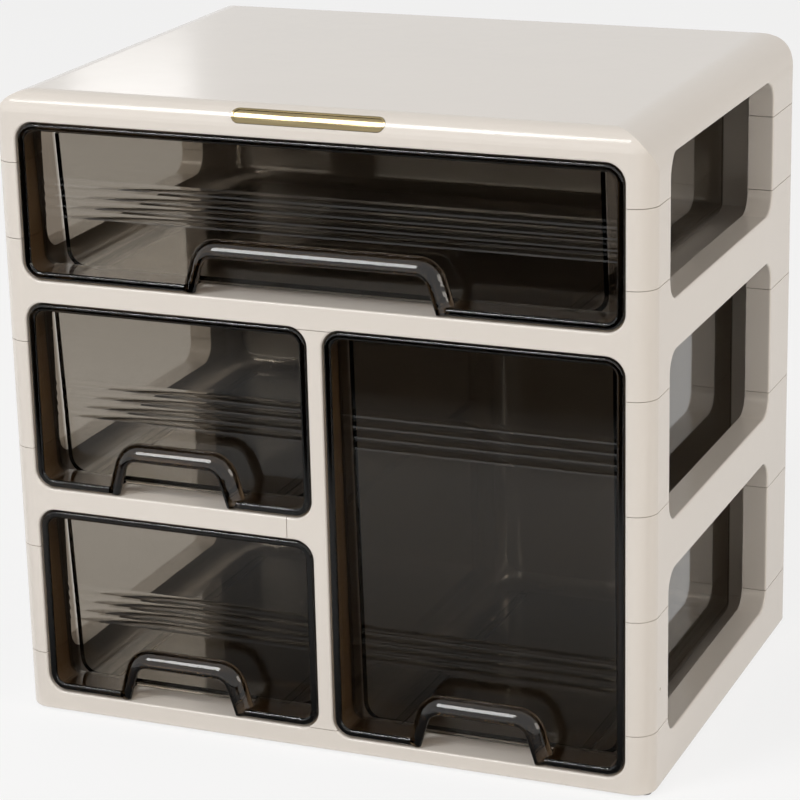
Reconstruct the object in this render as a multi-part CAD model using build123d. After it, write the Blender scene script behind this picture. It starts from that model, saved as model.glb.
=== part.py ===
from build123d import *
import os

# Desktop drawer organizer: moulded layers stacked on column sleeves, with four smoked drawers.
# Millimetres. X runs to the right, Y to the back, Z up.
# The origin is on the standing plane, under the middle of the frame.

# Frame: plan size, and the height of each layer from the standing plane up
frame_width = 293.0
frame_depth = 216.0
pad_height = 1.0
base_height = 9.0
tall_floor_drop = 2.0
lower_bay_height = 86.5
shelf_height = 9.8
middle_bay_height = 84.6
top_bay_height = 69.2
cover_height = 13.0

# Frame: posts, side rails and the rounding of its edges
post_width = 11.3
front_post_depth = 24.0
rear_post_depth = 40.0
divider_width = 6.7
post_edge_radius = 9.5
cover_edge_radius = 9.0
cover_side_radius = 18.0
foot_edge_radius = 1.5
bay_radius = 8.5
mouth_radius = 1.0
window_radius = 9.0
window_edge_radius = 0.8
base_rail_rise = 10.0
rail_rise = 7.8
rail_drop = 4.2
cover_rail_drop = 1.4

# Frame: how the moulded layers are hollowed, and how they part
skin = 3.0
front_lip = 5.0
rear_lip = 9.0
pocket_margin = 2.0
stop_rib = 3.0
stub_length = 17.8
seam_gap = 0.3
flare_seam = 0.6
ledge_reach = 11.6

# Pegs on the stubs and the bores of the column sleeves
peg_length = 8.0
peg_wall = 2.6
peg_inset = 8.0
peg_fit = 0.2

# Tongues that locate the divider and the half shelf
tongue_width = 2.7
tongue_height = 3.0
tongue_reach = 5.0
tongue_setback = 14.0

# Divider: the thin web between its front and rear uprights
divider_web = 2.7

# Gate marks: a shallow dimple on the outer side of each lower front column
gate_radius = 1.2
gate_depth = 0.45
gate_setback = 12.5
gate_level = 45.3

# Back panels, in a rebate round each bay
panel_thickness = 2.4
rebate = 1.6
panel_fit = 0.2

# Foot pads, under the corner posts
pad_width = 7.0
pad_length = 14.0
pad_radius = 3.0
pad_seat = 0.6
pad_fit = 0.15

# Badge: a blank plate bent over the rounded front edge of the cover
badge_length = 68.0
badge_height = 6.8
badge_rise_angle = 33.0
badge_depth = 1.0
badge_proud = 0.2
badge_rim = 0.9
badge_sink = 0.35
badge_fit = 0.1

# Drawers: fit in the bay, the rim and the tilted front panel
drawer_setback = 0.5
drawer_gap = 0.7
rim_width = 3.2
rim_edge_radius = 1.2
face_thickness = 2.4
face_top_depth = 10.5
face_bottom_depth = 16.0

# Drawers: tray and runners
drawer_rear_gap = 26.0
wide_tray_gap = 12.4
tray_gap = 7.2
tray_wall = 2.0
tray_lowering = 7.0
tray_corner_radius = 12.0
tray_bottom_radius = 9.0
runner_gap = 0.3
runner_height = 1.2
runner_width = 4.0
runner_inset = 16.0
guide_height = 1.0
guide_width = 2.0
guide_gap = 0.4

# Drawers: travel, the tabs that end it and the ridges that they close against
drawer_travel = 130.0
stop_clearance = 0.5
tab_width = 14.0
tab_rise = 3.0
ridge_width = 12.0
ridge_depth = 3.0
ridge_height = 3.0
closing_gap = 0.4

# Drawers: arched pull and the grooves across the front
pull_height = 23.5
pull_band = 9.2
pull_thickness = 4.4
pull_slant = 45.0
pull_lean = 7.0
pull_bend_radius = 9.0
wide_pull_span = 125.0
small_pull_span = 68.0
groove_count = 4
groove_pitch = 4.75
groove_width = 3.8
groove_depth = 0.3
groove_height = 38.5
top_groove_height = 33.9

# Every cut runs past its piece by this much
overrun = 2.0

# Levels
base_bottom = pad_height
floor_level = base_bottom + base_height
tall_floor = floor_level - tall_floor_drop
half_bottom = floor_level + lower_bay_height
half_top = half_bottom + shelf_height
upper_bottom = half_top + middle_bay_height
upper_top = upper_bottom + shelf_height
cover_bottom = upper_top + top_bay_height
frame_top = cover_bottom + cover_height

# Seams round the posts, named by the bay that they cross
top_bay_seams = (upper_top + stub_length, cover_bottom - stub_length)
middle_bay_seams = (half_top + stub_length, upper_bottom - stub_length)
lower_bay_seams = (floor_level + stub_length, half_bottom - stub_length)

# Planes of the frame
side_x = frame_width / 2
bay_side = side_x - post_width
front_y = -frame_depth / 2
rear_y = frame_depth / 2
divider_side = divider_width / 2
ledge_end = -divider_side - ledge_reach
band_side = divider_side + bay_radius + pocket_margin

# Bays: left, right, bottom, top
top_bay = (-bay_side, bay_side, upper_top, cover_bottom)
middle_bay = (-bay_side, -divider_side, half_top, upper_bottom)
lower_bay = (-bay_side, -divider_side, floor_level, half_bottom)
tall_bay = (divider_side, bay_side, tall_floor, upper_bottom)
bays = (top_bay, middle_bay, lower_bay, tall_bay)

# Side windows: bottom, top
windows = (
    (upper_top + rail_rise, cover_bottom - cover_rail_drop),
    (half_top + rail_rise, upper_bottom - rail_drop),
    (floor_level + base_rail_rise, half_bottom - rail_drop),
)

# Places along the drawers' travel
drawer_rear = rear_y - drawer_rear_gap
tab_front = drawer_rear - tray_wall
stop_rib_rear = tab_front - drawer_travel - stop_clearance


def block(x0, x1, y0, y1, z0, z1):
    """Box between two corners."""
    middle = Pos((x0 + x1) / 2, (y0 + y1) / 2, (z0 + z1) / 2)
    return middle * Box(x1 - x0, y1 - y0, z1 - z0)


def bay_prism(bay, grow, y0, y1):
    """Bay outline, grown all round, carried from y0 back to y1."""
    left, right, bottom, top = bay
    outline = RectangleRounded(right - left + 2 * grow, top - bottom + 2 * grow, bay_radius + grow)
    front = Plane(((left + right) / 2, y0, (bottom + top) / 2), x_dir=(1, 0, 0), z_dir=(0, -1, 0))
    return extrude(front * outline, amount=y0 - y1)


def frame_shell():
    """Rounded block of the whole frame, with softer shoulders along its sides."""
    plan = RectangleRounded(frame_width, frame_depth, post_edge_radius)
    body = extrude(Pos(0, 0, base_bottom) * plan, amount=frame_top - base_bottom)
    body = fillet(body.edges().group_by(Axis.Z)[-1], cover_edge_radius)
    body = fillet(body.edges().group_by(Axis.Z)[0], foot_edge_radius)
    face = Pos(0, (base_bottom + frame_top) / 2) * Rectangle(frame_width, frame_top - base_bottom)
    face = fillet(face.vertices().group_by(Axis.Y)[-1], cover_side_radius)
    front = Plane((0, front_y - overrun, 0), x_dir=(1, 0, 0), z_dir=(0, -1, 0))
    return body & extrude(front * face, amount=-frame_depth - 2 * overrun)


def cut_bays(body):
    """Open the four bays, round their mouths and rebate them for the back panels."""
    for bay in bays:
        body -= bay_prism(bay, 0, front_y - overrun, rear_y + overrun)
    mouths = [edge for wire in body.faces().sort_by(Axis.Y)[0].inner_wires() for edge in wire.edges()]
    body = fillet(mouths, mouth_radius)
    for bay in bays:
        body -= bay_prism(bay, rebate, rear_y - panel_thickness, rear_y + overrun)
    return body


def cut_windows(body):
    """Three windows in each side wall, with rounded corners."""
    length = frame_depth - front_post_depth - rear_post_depth
    middle_y = front_y + front_post_depth + length / 2
    for bottom, top in windows:
        outline = RectangleRounded(length, top - bottom, window_radius)
        for start in (bay_side - overrun, -side_x - overrun):
            plane = Plane((start, middle_y, (bottom + top) / 2), x_dir=(0, 1, 0), z_dir=(1, 0, 0))
            body -= extrude(plane * outline, amount=post_width + 2 * overrun)
    return body


def round_windows(body):
    """Soften the outer edges of the side windows."""
    first_y = front_y + front_post_depth - overrun
    last_y = rear_y - rear_post_depth + overrun
    for side in (-1, 1):
        rims = []
        for edge in body.edges():
            spot = edge.center()
            outside = side * spot.X > side_x - post_width / 4 and first_y < spot.Y < last_y
            if outside and any(bottom - overrun < spot.Z < top + overrun for bottom, top in windows):
                rims.append(edge)
        body = fillet(rims, window_edge_radius)
    return body


def under_pockets(left, right, bottom, roof):
    """Hollows under a moulded layer, parted by the cross rib that stops a drawer."""
    inner_left = left + bay_radius + pocket_margin
    inner_right = right - bay_radius - pocket_margin
    front = block(inner_left, inner_right, front_y + front_lip, stop_rib_rear - stop_rib, bottom, roof)
    rear = block(inner_left, inner_right, stop_rib_rear, rear_y - rear_lip, bottom, roof)
    return front, rear


def cut_pockets(body):
    """Thin the cover, the shelves and the base from below."""
    spans = (
        (-bay_side, bay_side, cover_bottom - overrun, frame_top - skin),
        (-bay_side, -divider_side, upper_bottom - overrun, upper_top - skin),
        (divider_side, bay_side, upper_bottom - overrun, upper_top - skin),
        (-bay_side, ledge_end, half_bottom - overrun, half_top - skin),
        (-bay_side, -divider_side, base_bottom - overrun, floor_level - skin),
        (divider_side, bay_side, base_bottom - overrun, tall_floor - skin),
    )
    for left, right, bottom, roof in spans:
        for pocket in under_pockets(left, right, bottom, roof):
            body -= pocket
    return body


def cut_gate_marks(body):
    """Shallow round dimples left by the mould on the outer side of the lower front columns."""
    middle = side_x + gate_radius - gate_depth
    for x in (-middle, middle):
        body -= Pos(x, front_y + gate_setback, gate_level) * Rot(0, 0, 90) * Sphere(gate_radius)
    return body


def post_spans():
    """Name, x range and y range of each corner post."""
    for side, x0, x1 in (("left", -side_x, -bay_side), ("right", bay_side, side_x)):
        for end, y0, y1 in (
            ("front", front_y, front_y + front_post_depth),
            ("rear", rear_y - rear_post_depth, rear_y),
        ):
            yield f"{end}_{side}", x0, x1, y0, y1


def pegs(seam, direction, wanted):
    """Pegs on the stubs at a seam, pointing up or down."""
    found = []
    tip = seam + direction * peg_length
    root = seam - direction * overrun
    for name, x0, x1, y0, y1 in post_spans():
        if wanted in name:
            inset = peg_wall + peg_fit
            ends = peg_inset + peg_fit
            low, high = sorted((root, tip))
            found.append(block(x0 + inset, x1 - inset, y0 + ends, y1 - ends, low, high))
    return found


def columns(frame, level, seams):
    """Four sleeves of one level, each with a blind bore at both ends."""
    bottom = seams[0] + seam_gap
    top = seams[1] - seam_gap
    bore = peg_length - seam_gap
    found = {}
    for name, x0, x1, y0, y1 in post_spans():
        sleeve = frame & block(x0, x1, y0, y1, bottom, top)
        for z0, z1 in ((bottom - overrun, bottom + bore), (top - bore, top + overrun)):
            sleeve -= block(x0 + peg_wall, x1 - peg_wall, y0 + peg_inset, y1 - peg_inset, z0, z1)
        found[f"{level}_column_{name}"] = sleeve
    return found


def closing_ridges(bay):
    """Two low ridges on a bay's floor, just behind the closed drawer."""
    left, right, bottom, _ = bay
    found = []
    for quarter_share in (0.25, 0.75):
        middle = left + (right - left) * quarter_share
        start = drawer_rear + closing_gap
        found.append(
            block(
                middle - ridge_width / 2,
                middle + ridge_width / 2,
                start,
                start + ridge_depth,
                bottom - skin / 2,
                bottom + ridge_height,
            )
        )
    return found


def runner_places(bay, gap):
    """Middle of each runner under a drawer's tray, from left to right."""
    left, right, _, _ = bay
    return left + gap + runner_inset, right - gap - runner_inset


def guide_ribs(bay, gap):
    """Two low ribs on a bay's floor that keep a drawer's runners in line from outside."""
    _, _, bottom, _ = bay
    start = front_y + drawer_setback + face_bottom_depth + face_thickness
    near = runner_width / 2 + guide_gap
    found = []
    for side, x in zip((-1, 1), runner_places(bay, gap)):
        inner = x + side * near
        outer = inner + side * guide_width
        low, high = sorted((inner, outer))
        found.append(block(low, high, start, drawer_rear, bottom - skin / 2, bottom + guide_height))
    return found


def divider_tongue(seam, direction, fit):
    """Tongue across the seam at one end of the divider, or its groove when grown by the fit."""
    start = front_y + tongue_setback - fit
    finish = rear_y - tongue_setback + fit
    tip = seam + direction * (tongue_height + fit)
    root = seam - direction * overrun
    low, high = sorted((root, tip))
    half = tongue_width / 2 + fit
    return block(-half, half, start, finish, low, high)


def shelf_tongue(fit):
    """Tongue on the inner end of the half shelf, or the groove for it when grown by the fit."""
    start = front_y + tongue_setback - fit
    finish = rear_y - tongue_setback + fit
    middle = (half_bottom + half_top) / 2
    half = tongue_width / 2 + fit
    tip = ledge_end + tongue_reach + fit
    return block(ledge_end - overrun, tip, start, finish, middle - half, middle + half)


def layer(frame, bottom, top):
    """Everything of the frame between two levels."""
    return frame & block(-side_x, side_x, front_y, rear_y, bottom, top)


def badge_blank(grow, inner_radius, outer_radius):
    """Slot-shaped slice of a tube that follows the rounded front edge of the cover."""
    axis_y = front_y + cover_edge_radius
    axis_z = frame_top - cover_edge_radius
    tube = Pos(0, axis_y, axis_z) * Rot(0, 90, 0) * Cylinder(outer_radius, frame_width)
    tube -= Pos(0, axis_y, axis_z) * Rot(0, 90, 0) * Cylinder(inner_radius, frame_width)
    outline = SlotOverall(badge_length + 2 * grow, badge_height + 2 * grow)
    aim = Plane((0, axis_y, axis_z), x_dir=(1, 0, 0), z_dir=(0, -1, 0)).rotated((-badge_rise_angle, 0, 0))
    return tube & extrude(aim * outline, amount=outer_radius + overrun)


def badge():
    """Blank plate with a raised rim."""
    inner = cover_edge_radius - badge_depth
    outer = cover_edge_radius + badge_proud
    plate = badge_blank(0, inner, outer)
    return plate - badge_blank(-badge_rim, outer - badge_sink, outer + overrun)


def top_cover(frame):
    """Cover with its side rails, four stubs and their pegs, and the seat of the badge."""
    cover = layer(frame, top_bay_seams[1], frame_top)
    for peg in pegs(top_bay_seams[1], -1, ""):
        cover += peg
    return cover - badge_blank(badge_fit, cover_edge_radius - badge_depth, cover_edge_radius + overrun)


def upper_shelf(frame):
    """Full-width shelf with side rails and eight stubs, grooved for the divider."""
    shelf = layer(frame, middle_bay_seams[1], top_bay_seams[0])
    under = upper_bottom - flare_seam
    shelf -= block(-band_side, band_side, front_y, rear_y, middle_bay_seams[1] - overrun, under)
    shelf -= divider_tongue(under, 1, peg_fit)
    stubs = pegs(top_bay_seams[0], 1, "") + pegs(middle_bay_seams[1], -1, "")
    for feature in stubs + closing_ridges(top_bay) + guide_ribs(top_bay, wide_tray_gap):
        shelf += feature
    return shelf


def half_shelf(frame):
    """Left-hand shelf with its side rail, four stubs and the tongue that meets the divider."""
    span = block(-side_x, ledge_end - seam_gap, front_y, rear_y, lower_bay_seams[1], middle_bay_seams[0])
    shelf = frame & span
    up = pegs(middle_bay_seams[0], 1, "left")
    down = pegs(lower_bay_seams[1], -1, "left")
    floor_ribs = closing_ridges(middle_bay) + guide_ribs(middle_bay, tray_gap)
    for feature in up + down + floor_ribs + [shelf_tongue(0)]:
        shelf += feature
    return shelf


def side_rail(frame):
    """Right-hand rail at the height of the half shelf, with its four stubs."""
    rail = frame & block(bay_side, side_x, front_y, rear_y, lower_bay_seams[1], middle_bay_seams[0])
    for peg in pegs(middle_bay_seams[0], 1, "right") + pegs(lower_bay_seams[1], -1, "right"):
        rail += peg
    return rail


def base(frame):
    """Floor of the lower bays with side rails and four stubs, grooved for the divider."""
    floor = layer(frame, base_bottom, lower_bay_seams[0])
    over = floor_level + flare_seam
    floor -= block(-band_side, band_side, front_y, rear_y, over, lower_bay_seams[0] + overrun)
    floor -= divider_tongue(over, -1, peg_fit)
    for bay in (lower_bay, tall_bay):
        for rib in closing_ridges(bay) + guide_ribs(bay, tray_gap):
            floor += rib
    for peg in pegs(lower_bay_seams[0], 1, ""):
        floor += peg
    for seat in pad_blanks(pad_fit, base_bottom - overrun, base_bottom + pad_seat):
        floor -= seat
    return floor


def divider(frame):
    """Upright wall with flared ends, a ledge for the half shelf and a tongue at each end."""
    bottom = floor_level + flare_seam
    top = upper_bottom - flare_seam
    wall = frame & block(ledge_end, band_side, front_y, rear_y, bottom + seam_gap, top - seam_gap)
    wall += divider_tongue(top, 1, 0)
    wall += divider_tongue(bottom, -1, 0)
    first_y = front_y + front_post_depth
    last_y = rear_y - rear_post_depth
    margin = bay_radius + pocket_margin
    web_side = divider_web - divider_side
    for low, high in ((floor_level + margin, half_bottom), (half_top, upper_bottom - margin)):
        wall -= block(web_side, band_side, first_y, last_y, low, high)
    return wall - shelf_tongue(peg_fit)


def pad_blanks(grow, bottom, top):
    """Four rounded pads under the corner posts."""
    found = []
    for _, x0, x1, y0, y1 in post_spans():
        outline = RectangleRounded(pad_width + 2 * grow, pad_length + 2 * grow, pad_radius + grow)
        middle_y = y0 + front_post_depth / 2 if y0 < 0 else y1 - front_post_depth / 2
        found.append(extrude(Pos((x0 + x1) / 2, middle_y, bottom) * outline, amount=top - bottom))
    return found


def face_prism(bay, top_depth, bottom_depth, low, high, front):
    """Everything in front of the tilted face plane, or behind it, between two heights."""
    left, right, bottom, top = bay
    rise = top - bottom - 2 * drawer_gap - 2 * rim_width
    slope = (top_depth - bottom_depth) / rise
    foot = bottom + drawer_gap + rim_width
    start = front_y + drawer_setback
    depth_low = start + bottom_depth + slope * (low - foot)
    depth_high = start + bottom_depth + slope * (high - foot)
    far = front_y - overrun if front else drawer_rear + overrun
    side = Polyline((far, low), (depth_low, low), (depth_high, high), (far, high), close=True)
    plane = Plane((left, 0, 0), x_dir=(0, 1, 0), z_dir=(1, 0, 0))
    return extrude(plane * make_face(side), amount=right - left)


def front_form(bay):
    """Rim and front panel in one: the mouth's outline, back to the rear of the tilted panel."""
    _, _, bottom, top = bay
    start = front_y + drawer_setback
    back_top = face_top_depth + face_thickness
    back_bottom = face_bottom_depth + face_thickness
    rim = bay_prism(bay, -drawer_gap, start, start + back_bottom)
    return rim & face_prism(bay, back_top, back_bottom, bottom, top, True)


def tray_form(bay, gap, wall):
    """Outer form of a tray, or its hollow when a wall is given; open to the top and front."""
    left, right, bottom, top = bay
    floor = bottom + runner_gap + runner_height + wall
    roof = top - tray_lowering + (overrun + tray_lowering if wall else 0)
    start = front_y + drawer_setback + rim_edge_radius + rim_width
    form = block(left + gap + wall, right - gap - wall, start, drawer_rear - wall, floor, roof)
    uprights = form.edges().filter_by(Axis.Z).group_by(Axis.Y)[-1]
    form = fillet(uprights, tray_corner_radius - wall)
    rounds = form.faces().sort_by(Axis.Z)[0].edges() - form.faces().sort_by(Axis.Y)[0].edges()
    return fillet(rounds, tray_bottom_radius - wall)


def pull_section():
    """Oval band of a pull, slanted so that its broad face looks forwards and outwards."""
    return Rot(0, 0, pull_slant) * Ellipse(pull_band / 2, pull_thickness / 2)


def pull(bay, span):
    """Arched bar: two leaning legs and a straight grip, swept in one run."""
    left, right, bottom, _ = bay
    middle = (left + right) / 2
    size = pull_section().bounding_box().size
    foot = span / 2 - size.Y / 2
    shoulder = foot - pull_lean
    grip = bottom + pull_height - size.Y / 2
    y = front_y + drawer_setback + size.X / 2
    under = bottom - overrun
    path = FilletPolyline(
        (middle - foot, y, under),
        (middle - shoulder, y, grip),
        (middle + shoulder, y, grip),
        (middle + foot, y, under),
        radius=pull_bend_radius,
    )
    start = Plane(path @ 0, x_dir=(0, 1, 0), z_dir=path % 0)
    bar = sweep(start * pull_section(), path)
    reach = pull_height + overrun
    return bar & block(left, right, y - reach, y + reach, bottom + drawer_gap, bottom + reach)


def finger_notch(bay, span):
    """Gap through the lower rim between the legs of the pull, back to the face."""
    left, right, bottom, _ = bay
    middle = (left + right) / 2
    half = span / 2 - pull_section().bounding_box().size.Y / 2
    roof = bottom + pull_height
    gap = block(middle - half, middle + half, front_y - overrun, drawer_rear, bottom, roof)
    return gap & face_prism(bay, face_top_depth, face_bottom_depth, bottom, roof, True)


def grooves(bay, heights):
    """Sets of shallow round grooves across the tilted face."""
    left, right, bottom, top = bay
    rise = top - bottom - 2 * drawer_gap - 2 * rim_width
    slope = (face_top_depth - face_bottom_depth) / rise
    foot = bottom + drawer_gap + rim_width
    length = right - left - 2 * drawer_gap - 2 * rim_width
    radius = (groove_width**2 / 4 + groove_depth**2) / (2 * groove_depth)
    outwards = Vector(0, -1, slope).normalized()
    found = []
    for height in heights:
        for index in range(groove_count):
            z = bottom + height + (index - (groove_count - 1) / 2) * groove_pitch
            y = front_y + drawer_setback + face_bottom_depth + slope * (z - foot)
            axis = Vector((left + right) / 2, y, z) + outwards * (radius - groove_depth)
            found.append(Pos(axis) * Rot(0, 90, 0) * Cylinder(radius, length))
    return found


def tray_extras(bay, gap):
    """Two runners under the tray and two stop tabs on its rear wall."""
    left, right, bottom, top = bay
    low = bottom + runner_gap
    high = low + runner_height + tray_wall / 2
    start = front_y + drawer_setback + face_bottom_depth
    finish = drawer_rear - tray_corner_radius
    found = []
    for x in runner_places(bay, gap):
        found.append(block(x - runner_width / 2, x + runner_width / 2, start, finish, low, high))
    root = top - tray_lowering - overrun
    for quarter_share in (0.25, 0.75):
        x0 = left + (right - left) * quarter_share - tab_width / 2
        found.append(block(x0, x0 + tab_width, tab_front, drawer_rear, root, top + tab_rise))
    return found


def drawer(bay, gap, span, groove_heights):
    """One moulded drawer: rim, tilted grooved face, tray, runners, stop tabs and arched pull."""
    _, _, bottom, top = bay
    body = front_form(bay) + tray_form(bay, gap, 0)
    recess = bay_prism(bay, -drawer_gap - rim_width, front_y, drawer_rear)
    recess &= face_prism(bay, face_top_depth, face_bottom_depth, bottom, top, True)
    body -= recess
    back_top = face_top_depth + face_thickness
    back_bottom = face_bottom_depth + face_thickness
    hollow = tray_form(bay, gap, tray_wall)
    body -= hollow & face_prism(bay, back_top, back_bottom, bottom, top + overrun, False)
    body = fillet(body.faces().sort_by(Axis.Y)[0].edges(), rim_edge_radius)
    body -= finger_notch(bay, span)
    for groove in grooves(bay, groove_heights):
        body -= groove
    for extra in tray_extras(bay, gap):
        body += extra
    return body + pull(bay, span)


def back_panel(bay):
    """Flat panel that fills the rebate behind a bay."""
    return bay_prism(bay, rebate - panel_fit, rear_y - panel_thickness, rear_y)


def organizer():
    """All nodes by name."""
    frame = round_windows(cut_windows(cut_bays(frame_shell())))
    frame = cut_gate_marks(cut_pockets(frame))
    nodes = {
        "top_cover": top_cover(frame),
        "badge": badge(),
        "upper_shelf": upper_shelf(frame),
        "half_shelf": half_shelf(frame),
        "side_rail": side_rail(frame),
        "base": base(frame),
        "divider": divider(frame),
        "foot_pads": Compound(children=pad_blanks(0, 0, base_bottom + pad_seat)),
    }
    nodes |= columns(frame, "top", top_bay_seams)
    nodes |= columns(frame, "middle", middle_bay_seams)
    nodes |= columns(frame, "lower", lower_bay_seams)
    for name, bay in (("top", top_bay), ("middle", middle_bay), ("lower", lower_bay), ("tall", tall_bay)):
        nodes[f"{name}_back_panel"] = back_panel(bay)
    upper_set = half_top + groove_height - tall_floor
    nodes["top_drawer"] = drawer(top_bay, wide_tray_gap, wide_pull_span, (top_groove_height,))
    nodes["middle_drawer"] = drawer(middle_bay, tray_gap, small_pull_span, (groove_height,))
    nodes["lower_drawer"] = drawer(lower_bay, tray_gap, small_pull_span, (groove_height,))
    nodes["tall_drawer"] = drawer(tall_bay, tray_gap, small_pull_span, (groove_height, upper_set))
    return nodes


os.makedirs("parts", exist_ok=True)
for node_name, solid in organizer().items():
    export_step(solid, f"parts/{node_name}.step")
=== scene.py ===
import math

import bpy
import numpy as np
from bpy.props import FloatProperty, FloatVectorProperty, PointerProperty
from mathutils import Matrix, Vector


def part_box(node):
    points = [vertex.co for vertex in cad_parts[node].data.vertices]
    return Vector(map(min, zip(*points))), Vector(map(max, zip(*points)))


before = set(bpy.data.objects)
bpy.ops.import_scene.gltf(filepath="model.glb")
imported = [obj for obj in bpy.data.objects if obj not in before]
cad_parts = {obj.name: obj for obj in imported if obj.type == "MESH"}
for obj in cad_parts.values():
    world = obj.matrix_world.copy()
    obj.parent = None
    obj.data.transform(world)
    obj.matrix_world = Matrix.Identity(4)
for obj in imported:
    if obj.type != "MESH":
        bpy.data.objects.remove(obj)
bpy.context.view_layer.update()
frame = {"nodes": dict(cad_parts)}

# Desktop drawer organizer: cream moulded frame, four smoked drawers, one blank gold badge.
# Metres, in the frame of the solids: X to the right, Y to the back, Z up from the standing plane.

bl_info = {
    "name": "Drawer Organizer",
    "version": (1, 0, 0),
    "blender": (4, 5, 0),
    "location": "View3D > Sidebar > Organizer",
    "description": "Dresses a desktop drawer organizer and sets its studio",
    "category": "Object",
}

# Nodes by finish
DRAWERS = ("top_drawer", "middle_drawer", "lower_drawer", "tall_drawer")
FRAME_PIECES = tuple(name for name in frame["nodes"] if name not in DRAWERS + ("badge", "foot_pads"))

# Grooves in the drawers' fronts: how many make a set, and the height of the middle of each set
GROOVES_IN_SET = 4
GROOVE_SETS = {
    "top_drawer": (0.2346,),
    "middle_drawer": (0.1448,),
    "lower_drawer": (0.0485,),
    "tall_drawer": (0.0465, 0.1448),
}

# Painted shade in the grooves: bands in which the mirror reflection is dimmed, their middle and their reach in
# shares of the pitch, and the share of the reflection left in them
BAND_PLACE_SHARE = 0.62
BAND_REACH_SHARE = 0.3
BAND_REFLECTION_LEFT = (0.05, 0.05, 0.05)

# Shares of the panel's depth between which a drawer's painted shade tints change
PANEL_EDGE_SHARES = (0.92, 0.98)

# How far that share may lie from 1 on the panel's front face
PANEL_FACE_SHARE = 0.06

# Width over which the painted shade tints change beside the tray
TRAY_BLEND = 0.0004

# Roughness of the gold plate over its grain, and of the rubber
GOLD_ROUGHNESS = (0.08, 0.2)
RUBBER_ROUGHNESS = 0.7

# Lights: place, the point that they look at, width and height
MIDDLE = (0, 0, 0.12)
LIGHTS = {
    "high_light": ((-0.8, -1.3, 1.75), MIDDLE, (0.7, 0.6)),
    "front_light": ((-0.5, -2.3, 0.75), MIDDLE, (1.6, 0.9)),
    "side_light": ((2.0, -0.4, 0.9), MIDDLE, (1.0, 0.8)),
    "window_light": ((-0.95, 1.55, 0.78), (-0.1, 0, 0.28), (0.13, 0.28)),
}

# Floor: half its width, and the share of white in it where it is seen
FLOOR_REACH = 6.0
FLOOR_LIFT_SHARE = 0.78

# Painted shade card, a dark sheet that only reflections meet and that stands in for a darker floor and room in
# front: its near and far edges, half its width, its height, and how dark it is along a fade from the near edge
CARD_NEAR = -0.11
CARD_FAR = -2.4
CARD_REACH = 2.2
CARD_HEIGHT = 0.002
CARD_FADE = 0.6
CARD_DARK_SHARES = ((0.0, 0.92), (0.22, 0.56), (0.44, 0.44), (0.62, 1.0))

# Refraction of the plastic, camera, and white
PLASTIC_INDEX = 1.5
SENSOR_WIDTH = 36
CLIP_RANGE = (0.05, 50)
WHITE = (1, 1, 1)


def linear(red, green, blue):
    """Linear colour of a display colour given as 0 to 255: the standard display curve, undone."""
    share = np.array([red, green, blue]) / 255
    curve = np.where(share > 0.04045, ((share + 0.055) / 1.055) ** 2.4, share / 12.92)
    return tuple(float(value) for value in curve)


class FramePlastic(bpy.types.PropertyGroup):
    """Finish of the cream frame."""

    colour: FloatVectorProperty(
        name="Colour", description="Body colour of the cream plastic", subtype="COLOR",
        size=3, min=0, max=1, default=linear(226, 219, 211))
    gloss: FloatProperty(
        name="Roughness", description="Roughness of the moulded face", subtype="FACTOR",
        min=0, max=1, default=0.15)


class SmokedPlastic(bpy.types.PropertyGroup):
    """Finish of the smoked drawers."""

    colour: FloatVectorProperty(
        name="Smoke", description="Colour that the smoke lets through", subtype="COLOR",
        size=3, min=0, max=1, default=(0.46, 0.40, 0.31))
    density: FloatProperty(
        name="Density", description="Smoke in a metre of plastic", min=0, default=400)
    index: FloatProperty(
        name="Index", description="Index of refraction of the clear plastic",
        min=1, max=2, default=PLASTIC_INDEX)
    gloss: FloatProperty(
        name="Roughness", description="Roughness of the polished face", subtype="FACTOR",
        min=0, max=1, default=0.03)
    # Painted shade: the next three tints darken parts of the one smoked plastic, standing in for the shade in the
    # recess, on the pull and rim, and beside the tray
    pull: FloatVectorProperty(
        name="Pull", description="Colour that the pull and the long sides of the rim let through",
        subtype="COLOR", size=3, min=0, max=1, default=(0.50, 0.40, 0.30))
    wall_shade: FloatVectorProperty(
        name="Wall", description="Colour that the upright walls in front of the panel let through",
        subtype="COLOR", size=3, min=0, max=1, default=(1, 0.86, 0.70))
    strip: FloatVectorProperty(
        name="Strip", description="Colour that the panel lets through beside its tray",
        subtype="COLOR", size=3, min=0, max=1, default=(0.36, 0.32, 0.28))
    top_depth: FloatProperty(
        name="Top Depth", description="How deep the panel lies at its top edge",
        subtype="DISTANCE", unit="LENGTH", min=0, default=0.0105)
    bottom_depth: FloatProperty(
        name="Bottom Depth", description="How deep the panel lies at its bottom edge",
        subtype="DISTANCE", unit="LENGTH", min=0, default=0.016)
    wide_flange: FloatProperty(
        name="Wide Flange", description="Width of the top drawer's front outside its tray",
        subtype="DISTANCE", unit="LENGTH", min=0, default=0.0116)
    flange: FloatProperty(
        name="Flange", description="Width of the other fronts outside their trays",
        subtype="DISTANCE", unit="LENGTH", min=0, default=0.0064)
    groove_pitch: FloatProperty(
        name="Groove Pitch", description="Height from one groove of the fronts to the next",
        subtype="DISTANCE", unit="LENGTH", min=0, default=0.00475)
    tab_rise: FloatProperty(
        name="Tab Rise", description="How far the stop tabs stand above the bay",
        subtype="DISTANCE", unit="LENGTH", min=0, default=0.003)


class GoldPlate(bpy.types.PropertyGroup):
    """Finish of the badge."""

    colour: FloatVectorProperty(
        name="Colour", description="Colour of the gold plate", subtype="COLOR",
        size=3, min=0, max=1, default=linear(148, 134, 102))


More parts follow.
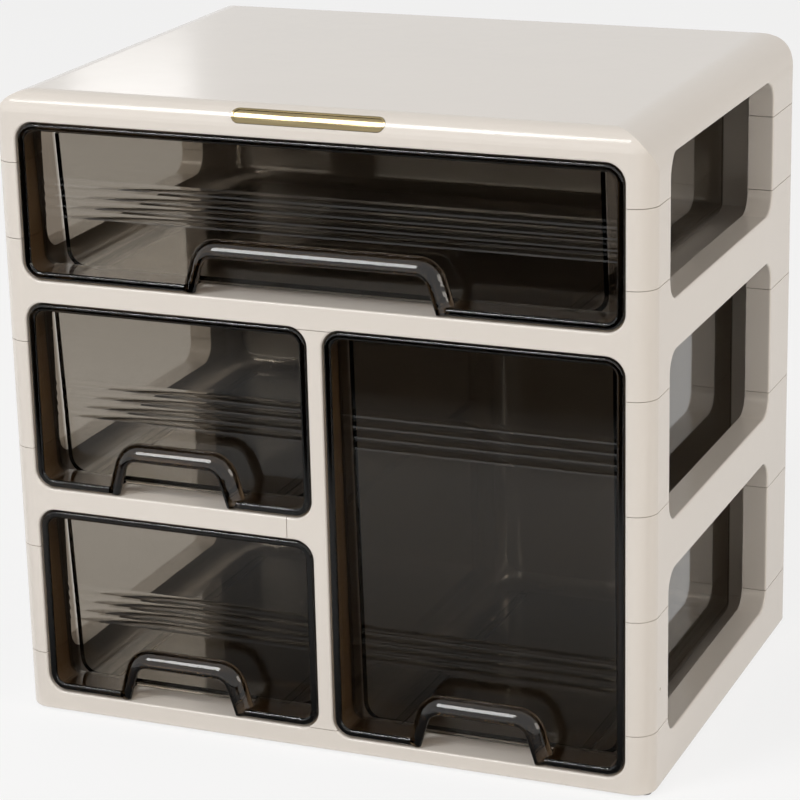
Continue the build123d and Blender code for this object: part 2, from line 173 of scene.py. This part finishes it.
class Studio(bpy.types.PropertyGroup):
    """Camera and light."""

    lens: FloatProperty(
        name="Lens", description="Focal length on a 36 mm sensor", subtype="DISTANCE_CAMERA", default=132.28)
    place: FloatVectorProperty(
        name="Camera", description="Place of the camera", subtype="TRANSLATION", unit="LENGTH",
        size=3, default=(0.48017, -1.16894, 0.53372))
    azimuth: FloatProperty(
        name="Azimuth", description="How far the camera stands to the right of the front",
        subtype="ANGLE", unit="ROTATION", default=math.radians(22.610))
    elevation: FloatProperty(
        name="Elevation", description="How far the camera looks down",
        subtype="ANGLE", unit="ROTATION", default=math.radians(17.832))
    roll: FloatProperty(
        name="Roll", description="Turn of the camera about its view",
        subtype="ANGLE", unit="ROTATION", default=math.radians(-1.347))
    ambient: FloatProperty(name="Ambient", description="Light of the room", min=0, default=0.36)
    warmth: FloatVectorProperty(
        name="Warmth", description="Colour of the room's light", subtype="COLOR",
        size=3, min=0, max=1, default=(1, 0.968, 0.925))
    bounce: FloatVectorProperty(
        name="Bounce", description="Colour of the side light", subtype="COLOR",
        size=3, min=0, max=1, default=(1, 0.92, 0.83))
    key: FloatProperty(
        name="Key", description="Power of the high light", subtype="POWER", min=0, default=15)
    front: FloatProperty(
        name="Front", description="Power of the front light", subtype="POWER", min=0, default=14)
    fill: FloatProperty(
        name="Fill", description="Power of the side light", subtype="POWER", min=0, default=12)
    window: FloatProperty(
        name="Window", description="Power of the light that the cover mirrors", subtype="POWER",
        min=0, default=0.16)


class Settings(bpy.types.PropertyGroup):
    """All settings of the organizer."""

    frame: PointerProperty(type=FramePlastic)
    drawers: PointerProperty(type=SmokedPlastic)
    badge: PointerProperty(type=GoldPlate)
    studio: PointerProperty(type=Studio)


def new_material(name):
    """Fresh node material; returns it with its tree and its shader."""
    material = bpy.data.materials.new(name)
    material.use_nodes = True
    tree = material.node_tree
    return material, tree, tree.nodes["Principled BSDF"]


def node(tree, kind, **values):
    """New node, with its settings."""
    made = tree.nodes.new(kind)
    for key, value in values.items():
        setattr(made, key, value)
    return made


def math_node(tree, operation, first, second=0.0, third=0.0):
    """Math on up to three values, each a socket or a number; returns its output."""
    made = node(tree, "ShaderNodeMath", operation=operation)
    for socket, value in zip(made.inputs, (first, second, third)):
        if isinstance(value, bpy.types.NodeSocket):
            tree.links.new(value, socket)
        else:
            socket.default_value = value
    return made.outputs[0]


def map_range(tree, value, source, target=(0, 1)):
    """Value carried evenly from one range to another and held at its ends."""
    made = node(tree, "ShaderNodeMapRange")
    for name, number in zip(("From Min", "From Max", "To Min", "To Max"), (*source, *target)):
        made.inputs[name].default_value = number
    tree.links.new(value, made.inputs["Value"])
    return made.outputs["Result"]


def object_place(tree):
    """X, Y and Z of a point in Object coordinates."""
    coordinates = node(tree, "ShaderNodeTexCoord")
    parts = node(tree, "ShaderNodeSeparateXYZ")
    tree.links.new(coordinates.outputs["Object"], parts.inputs[0])
    return tuple(parts.outputs)


def noise(tree, scale, detail, along=1.0):
    """Noise on Object coordinates, in waves per metre; along is the share of those waves that run in X."""
    coordinates = node(tree, "ShaderNodeTexCoord")
    stretch = node(tree, "ShaderNodeMapping")
    stretch.inputs["Scale"].default_value = (along, 1, 1)
    texture = node(tree, "ShaderNodeTexNoise")
    texture.inputs["Scale"].default_value = scale
    texture.inputs["Detail"].default_value = detail
    tree.links.new(coordinates.outputs["Object"], stretch.inputs["Vector"])
    tree.links.new(stretch.outputs["Vector"], texture.inputs["Vector"])
    return texture.outputs["Fac"]


def bump(tree, height, distance, strength):
    """Bump from a height of 0 to 1."""
    made = node(tree, "ShaderNodeBump")
    made.inputs["Distance"].default_value = distance
    made.inputs["Strength"].default_value = strength
    tree.links.new(height, made.inputs["Height"])
    return made.outputs["Normal"]


def shades(tree, value, first, second):
    """Colour that runs from the first shade at 0 to the second at 1."""
    ramp = node(tree, "ShaderNodeValToRGB")
    ramp.color_ramp.elements[0].color = (*first, 1)
    ramp.color_ramp.elements[1].color = (*second, 1)
    tree.links.new(value, ramp.inputs["Fac"])
    return ramp.outputs["Color"]


def shade_range(colour, low, high):
    """Two shades of a colour, as shares of it, held at white."""
    return np.array(colour) * low, np.minimum(np.array(colour) * high, 1)


def uneven_gloss(tree, gloss, cloud, low, high):
    """Roughness that a cloud of 0 to 1 spreads between two shares of it."""
    return map_range(tree, cloud, (0, 1), (gloss * low, gloss * high))


def cream_plastic(finish):
    """Cream moulded plastic: faint clouding of the colour, uneven polish and a soft ripple."""
    material, tree, shader = new_material("cream_plastic")
    cloud = noise(tree, scale=18, detail=3)
    tints = shade_range(finish.colour, low=0.975, high=1.02)
    tree.links.new(shades(tree, cloud, *tints), shader.inputs["Base Color"])
    polish = uneven_gloss(tree, finish.gloss, noise(tree, scale=140, detail=4), low=0.8, high=1.25)
    tree.links.new(polish, shader.inputs["Roughness"])
    ripple = noise(tree, scale=45, detail=2)
    tree.links.new(bump(tree, ripple, distance=0.0004, strength=0.12), shader.inputs["Normal"])
    shader.inputs["IOR"].default_value = PLASTIC_INDEX
    return material


def panel_share(tree, finish, name, y, z):
    """How far a point lies behind a drawer's rim, as a share of the depth of the panel at its height. That depth
    grows evenly from the top edge to the bottom edge."""
    low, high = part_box(name)
    heights = (low[2], high[2] - finish.tab_rise)
    depth = map_range(tree, z, heights, (finish.bottom_depth, finish.top_depth))
    return math_node(tree, "DIVIDE", math_node(tree, "SUBTRACT", y, low[1]), depth)


def painted_shade_tint(tree, finish, name, x, share):
    """Painted shade in the colour that each part of a drawer lets through: the drawer is one smoked plastic, and the
    darker, browner tints stand in for the shade in its recess and beside its tray. In front of the panel, where the
    panel share is below 1, it is the pull's within the tray's width and the walls' beside it. Behind, it is clear
    within that width and the strips' beside it."""
    low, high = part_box(name)
    flange = finish.wide_flange if name == "top_drawer" else finish.flange
    tray_reach = (high[0] - low[0]) / 2 - flange
    sideways = math_node(tree, "ABSOLUTE", math_node(tree, "SUBTRACT", x, (low[0] + high[0]) / 2))
    in_tray = map_range(tree, sideways, (tray_reach + TRAY_BLEND, tray_reach))
    tint = node(tree, "ShaderNodeMixRGB")
    tree.links.new(map_range(tree, share, PANEL_EDGE_SHARES), tint.inputs["Fac"])
    tree.links.new(shades(tree, in_tray, finish.wall_shade, finish.pull), tint.inputs["Color1"])
    tree.links.new(shades(tree, in_tray, finish.strip, WHITE), tint.inputs["Color2"])
    return tint.outputs["Color"]


def groove_shade_bands(tree, finish, name, z, share):
    """Mask of the painted shade in a drawer's grooves: soft bands in their upper halves, 1 at one place in each
    pitch, falling evenly to 0 at their reach on either side. They lie on the panel's front face alone, where the
    panel share is near 1."""
    total = 0.0
    for middle in GROOVE_SETS[name]:
        phase = math_node(tree, "DIVIDE", math_node(tree, "SUBTRACT", z, middle), finish.groove_pitch)
        in_set = math_node(tree, "COMPARE", phase, 0.0, GROOVES_IN_SET / 2)
        place = math_node(tree, "FRACT", phase)
        off = math_node(tree, "ABSOLUTE", math_node(tree, "SUBTRACT", place, BAND_PLACE_SHARE))
        band = map_range(tree, off, (BAND_REACH_SHARE, 0))
        total = math_node(tree, "MAXIMUM", math_node(tree, "MULTIPLY", band, in_set), total)
    on_face = math_node(tree, "COMPARE", share, 1.0, PANEL_FACE_SHARE)
    return math_node(tree, "MULTIPLY", total, on_face)


def smoked_plastic(finish, name):
    """Smoked clear plastic: darker where it is thicker, polished, with a faint ripple and clouds in its polish.
    Painted shade: darker see-through tints by part, and a dimmed reflection in bands along the grooves."""
    material, tree, shader = new_material(f"smoked_{name}")
    x, y, z = object_place(tree)
    share = panel_share(tree, finish, name, y, z)
    # Painted shade: darker see-through tints in the pull, rim, recess walls and beside the tray
    tree.links.new(painted_shade_tint(tree, finish, name, x, share), shader.inputs["Base Color"])
    # Painted shade: the Specular Tint dims the reflection in bands along the grooves
    bands = groove_shade_bands(tree, finish, name, z, share)
    tree.links.new(shades(tree, bands, WHITE, BAND_REFLECTION_LEFT), shader.inputs["Specular Tint"])
    shader.inputs["Transmission Weight"].default_value = 1
    shader.inputs["IOR"].default_value = finish.index
    smoke = node(tree, "ShaderNodeVolumeAbsorption")
    smoke.inputs["Color"].default_value = (*finish.colour, 1)
    smoke.inputs["Density"].default_value = finish.density
    tree.links.new(smoke.outputs[0], tree.nodes["Material Output"].inputs["Volume"])
    polish = uneven_gloss(tree, finish.gloss, noise(tree, scale=90, detail=3), low=0.6, high=1.6)
    tree.links.new(polish, shader.inputs["Roughness"])
    ripple = noise(tree, scale=30, detail=2)
    tree.links.new(bump(tree, ripple, distance=0.0003, strength=0.08), shader.inputs["Normal"])
    return material


def gold_plate(finish):
    """Gold-coloured plate with a fine grain along its length, in its colour, polish and surface."""
    material, tree, shader = new_material("gold_plate")
    grain = noise(tree, scale=1100, detail=3, along=0.04)
    tints = shade_range(finish.colour, low=0.6, high=1.35)
    tree.links.new(shades(tree, grain, *tints), shader.inputs["Base Color"])
    tree.links.new(map_range(tree, grain, (0, 1), GOLD_ROUGHNESS), shader.inputs["Roughness"])
    tree.links.new(bump(tree, grain, distance=0.0001, strength=0.25), shader.inputs["Normal"])
    shader.inputs["Metallic"].default_value = 1
    return material


def pad_rubber():
    """Dull rubber of the foot pads, with a fine grain."""
    material, tree, shader = new_material("pad_rubber")
    dark, light = linear(60, 58, 55), linear(78, 75, 71)
    grain = noise(tree, scale=1500, detail=3)
    tree.links.new(shades(tree, grain, dark, light), shader.inputs["Base Color"])
    tree.links.new(bump(tree, grain, distance=0.0001, strength=0.4), shader.inputs["Normal"])
    shader.inputs["Roughness"].default_value = RUBBER_ROUGHNESS
    return material


def dress(names, material):
    """Give one finish to all the slots of these nodes."""
    for name in names:
        materials = frame["nodes"][name].data.materials
        for index in range(len(materials)):
            materials[index] = material


class ORGANIZER_OT_frame(bpy.types.Operator):
    """Cream plastic on the layers, columns, divider and back panels"""

    bl_idname = "organizer.frame"
    bl_label = "Cream Frame"

    def execute(self, context):
        dress(FRAME_PIECES, cream_plastic(context.scene.organizer.frame))
        return {"FINISHED"}


class ORGANIZER_OT_drawers(bpy.types.Operator):
    """Smoked plastic on the four drawers"""

    bl_idname = "organizer.drawers"
    bl_label = "Smoked Drawers"

    def execute(self, context):
        for name in DRAWERS:
            dress((name,), smoked_plastic(context.scene.organizer.drawers, name))
        return {"FINISHED"}


class ORGANIZER_OT_badge(bpy.types.Operator):
    """Gold on the blank badge"""

    bl_idname = "organizer.badge"
    bl_label = "Gold Badge"

    def execute(self, context):
        dress(("badge",), gold_plate(context.scene.organizer.badge))
        return {"FINISHED"}


class ORGANIZER_OT_pads(bpy.types.Operator):
    """Rubber on the foot pads"""

    bl_idname = "organizer.pads"
    bl_label = "Foot Pads"

    def execute(self, context):
        dress(("foot_pads",), pad_rubber())
        return {"FINISHED"}


def background_rays(tree):
    """1 for the rays that show the background: seen, mirrored or passed through."""
    rays = node(tree, "ShaderNodeLightPath")
    seen = rays.outputs["Is Camera Ray"]
    mirrored = math_node(tree, "MAXIMUM", seen, rays.outputs["Is Glossy Ray"])
    return math_node(tree, "MAXIMUM", mirrored, rays.outputs["Is Transmission Ray"])


def mix_shaders(tree, share, first, second, output):
    """Surface of an output node: the first shader where the share is 0, the second where it is 1."""
    mix = node(tree, "ShaderNodeMixShader")
    for source, socket in zip((share, first.outputs[0], second.outputs[0]), mix.inputs):
        tree.links.new(source, socket)
    tree.links.new(mix.outputs[0], tree.nodes[output].inputs["Surface"])


def dull_material(name, colour, roughness):
    """Plain material with no gloss; returns it with its tree and its shader."""
    material, tree, shader = new_material(name)
    shader.inputs["Base Color"].default_value = (*colour, 1)
    shader.inputs["Roughness"].default_value = roughness
    shader.inputs["Specular IOR Level"].default_value = 0
    return material, tree, shader


def flat_sheet(name, across, along, height, material):
    """Flat rectangle: the corners are a grid of two X values and two Y values, all at one height."""
    x, y = np.meshgrid(across, along)
    points = np.stack([x.ravel(), y.ravel(), np.full(x.size, height)], axis=1)
    mesh = bpy.data.meshes.new(name)
    mesh.from_pydata(points.tolist(), [], [(0, 1, 3, 2)])
    mesh.materials.append(material)
    sheet = bpy.data.objects.new(name, mesh)
    bpy.context.scene.collection.objects.link(sheet)
    return sheet


def room_light(studio):
    """World: white as a background, a dimmer warm tone as light."""
    world = bpy.data.worlds.new("room")
    bpy.context.scene.world = world
    world.use_nodes = True
    tree = world.node_tree
    light = tree.nodes["Background"]
    light.inputs["Color"].default_value = (*studio.warmth, 1)
    light.inputs["Strength"].default_value = studio.ambient
    white = node(tree, "ShaderNodeBackground")
    white.inputs["Color"].default_value = (*WHITE, 1)
    white.inputs["Strength"].default_value = 1
    mix_shaders(tree, background_rays(tree), light, white, "World Output")


def pale_floor():
    """Floor at the standing plane: pale, lifted towards white where it is seen, with the shadow kept."""
    material, tree, shader = dull_material("floor_paper", colour=(0.90, 0.90, 0.90), roughness=0.9)
    lift = node(tree, "ShaderNodeEmission")
    lift.inputs["Color"].default_value = (*WHITE, 1)
    share = math_node(tree, "MULTIPLY", background_rays(tree), FLOOR_LIFT_SHARE)
    mix_shaders(tree, share, shader, lift, "Material Output")
    span = (-FLOOR_REACH, FLOOR_REACH)
    floor = flat_sheet("floor", span, span, 0.0, material)


def painted_shade_card():
    """Painted shade and painted reflection: a dark card on the floor in front, out of the picture, which mirror and
    see-through rays alone meet, so that the drawers mirror a darker floor. It is nearly whole at the organizer's
    foot, about half clear further out and whole beyond."""
    material, tree, shader = dull_material("painted_shade_sheet", colour=(0.01, 0.009, 0.008), roughness=1)
    y = object_place(tree)[1]
    fade = node(tree, "ShaderNodeValToRGB")
    elements = fade.color_ramp.elements
    while len(elements) < len(CARD_DARK_SHARES):
        elements.new(1)
    for element, (place, dark) in zip(elements, CARD_DARK_SHARES):
        element.position = place
        element.color = (dark, dark, dark, 1)
    tree.links.new(map_range(tree, y, (CARD_NEAR, CARD_NEAR - CARD_FADE)), fade.inputs["Fac"])
    clear = node(tree, "ShaderNodeBsdfTransparent")
    mix_shaders(tree, fade.outputs["Color"], clear, shader, "Material Output")
    card = flat_sheet("painted_shade_card", (-CARD_REACH, CARD_REACH), (CARD_FAR, CARD_NEAR), CARD_HEIGHT, material)
    card.visible_camera = False
    card.visible_diffuse = False
    card.visible_shadow = False


def soft_light(name, power):
    """Rectangular soft light that looks at a point."""
    place, target, (width, height) = LIGHTS[name]
    light = bpy.data.lights.new(name, "AREA")
    light.shape = "RECTANGLE"
    light.size, light.size_y = width, height
    light.energy = power
    lamp = bpy.data.objects.new(name, light)
    bpy.context.scene.collection.objects.link(lamp)
    lamp.location = place
    lamp.rotation_euler = (Vector(target) - Vector(place)).to_track_quat("-Z", "Y").to_euler()
    return lamp


def stand_camera(studio):
    """Camera from its azimuth, elevation and roll: its axes are the columns of its turn."""
    a, e, r = studio.azimuth, studio.elevation, studio.roll
    back = Vector((math.sin(a) * math.cos(e), -math.cos(a) * math.cos(e), math.sin(e)))
    right = Vector((math.cos(a), math.sin(a), 0))
    up = back.cross(right)
    turned_right = math.cos(r) * right + math.sin(r) * up
    turned_up = -math.sin(r) * right + math.cos(r) * up
    data = bpy.data.cameras.new("camera")
    data.lens = studio.lens
    data.sensor_width = SENSOR_WIDTH
    data.clip_start, data.clip_end = CLIP_RANGE
    camera = bpy.data.objects.new("camera", data)
    bpy.context.scene.collection.objects.link(camera)
    turn = Matrix((turned_right, turned_up, back)).transposed().to_4x4()
    camera.matrix_world = Matrix.Translation(studio.place) @ turn
    bpy.context.scene.camera = camera


class ORGANIZER_OT_stage(bpy.types.Operator):
    """Pale floor, a dark card of painted shade that only reflections meet, soft lights, white background and the
    camera
    """

    bl_idname = "organizer.stage"
    bl_label = "Studio"

    def execute(self, context):
        studio = context.scene.organizer.studio
        context.scene.view_settings.view_transform = "Standard"
        room_light(studio)
        pale_floor()
        # Painted shade: a dark sheet that only reflections and see-through rays meet
        painted_shade_card()
        soft_light("high_light", studio.key)
        soft_light("front_light", studio.front).visible_glossy = False
        soft_light("side_light", studio.fill).data.color = studio.bounce
        soft_light("window_light", studio.window)
        stand_camera(studio)
        return {"FINISHED"}


class ORGANIZER_PT_panel(bpy.types.Panel):
    """Steps of the organizer"""

    bl_label = "Drawer Organizer"
    bl_space_type = "VIEW_3D"
    bl_region_type = "UI"
    bl_category = "Organizer"

    def draw(self, context):
        for step in OPERATORS:
            self.layout.operator(step.bl_idname)


GROUPS = (FramePlastic, SmokedPlastic, GoldPlate, Studio, Settings)
OPERATORS = (
    ORGANIZER_OT_frame,
    ORGANIZER_OT_drawers,
    ORGANIZER_OT_badge,
    ORGANIZER_OT_pads,
    ORGANIZER_OT_stage,
)
CLASSES = GROUPS + OPERATORS + (ORGANIZER_PT_panel,)


def register():
    for item in CLASSES:
        bpy.utils.register_class(item)
    bpy.types.Scene.organizer = PointerProperty(type=Settings)


def unregister():
    del bpy.types.Scene.organizer
    for item in reversed(CLASSES):
        bpy.utils.unregister_class(item)


def main():
    register()
    for step in ("frame", "drawers", "badge", "pads", "stage"):
        getattr(bpy.ops.organizer, step)()


if __name__ == "__main__":
    main()
